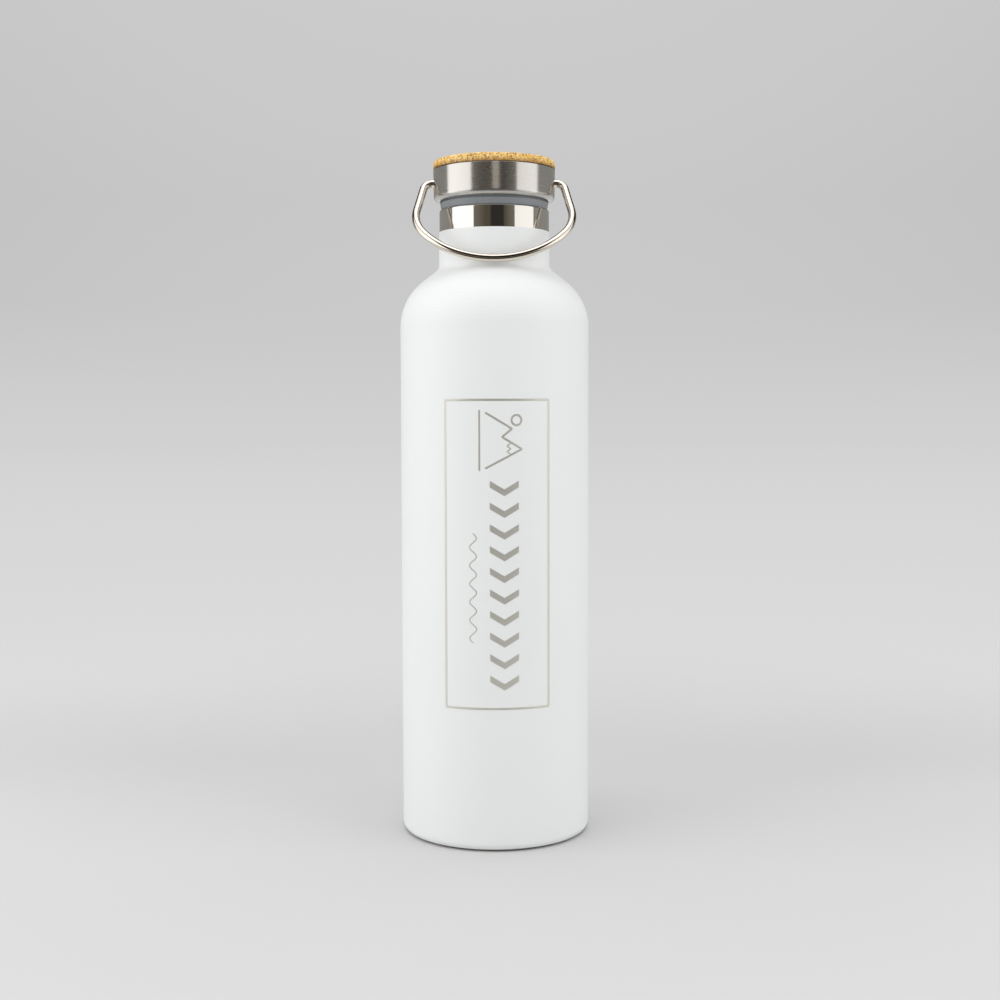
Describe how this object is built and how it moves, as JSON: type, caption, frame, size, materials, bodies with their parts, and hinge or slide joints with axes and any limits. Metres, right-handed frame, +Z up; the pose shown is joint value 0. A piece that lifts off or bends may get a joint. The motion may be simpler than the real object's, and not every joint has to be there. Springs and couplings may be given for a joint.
{
  "type": "insulated water bottle",
  "caption": "Slim double-wall steel bottle with a coated body, screw lid with a bamboo top, seal ring and a swinging wire bail.",
  "frame": {"origin": "centre of the foot, on the surface the bottle stands on", "axes": "+Z up along the bottle's axis; the bail hangs in front, at -Y; the bail's pivots lie along X"},
  "size_m": [0.073, 0.073, 0.2598],
  "materials": {
    "polished_steel": "polished stainless steel",
    "white_coat": "satin polyester powder coat",
    "plain_steel": "drawn stainless steel, satin",
    "seal_glass": "sealing glass",
    "getter_alloy": "pressed metal powder",
    "copper_foil": "bright copper foil",
    "grey_silicone": "matte silicone",
    "brushed_steel": "turned, fine brushed",
    "bamboo": "oiled bamboo",
    "glue": "cured glue",
    "moulded_plastic": "moulded polypropylene",
    "insulating_foam": "closed-cell foam",
    "bush_plastic": "acetal",
    "bail_steel": "polished stainless wire"
  },
  "bodies": {
    "bottle": {"outer_shell": "polished_steel", "powder_coat": "white_coat", "outer_base": "plain_steel", "vacuum_seal": "seal_glass", "base_cover": "plain_steel", "getter": "getter_alloy", "getter_clip": "plain_steel", "copper_wrap": "copper_foil", "inner_liner": "polished_steel", "liner_base": "plain_steel"},
    "seal": {"seal_ring": "grey_silicone"},
    "lid": {"cap_shell": "brushed_steel", "bamboo_disc": "bamboo", "bamboo_adhesive": "glue", "cap_core": "moulded_plastic", "plug_foam": "insulating_foam", "plug_base": "moulded_plastic", "pivot_bush_left": "bush_plastic", "pivot_bush_right": "bush_plastic"},
    "handle": {"bail_handle": "bail_steel"}
  },
  "joints": [
    {"name": "lid_lift", "type": "slide", "parent": "bottle", "child": "seal", "axis": [0, 0, 1], "range_m": [0, 0.02]},
    {"name": "lid_turn", "type": "hinge", "parent": "seal", "child": "lid", "pos_m": [0, 0, 0.2409], "axis": [0, 0, 1], "range_deg": [0, 1440]},
    {"name": "bail_swing", "type": "hinge", "parent": "lid", "child": "handle", "pos_m": [0, 0, 0.2515], "axis": [-1, 0, 0], "range_deg": [0, 285]}
  ],
  "couplings": [
    {"joint": "lid_lift", "follows": "lid_turn", "m_per_rad": 0.00079577}
  ]
}
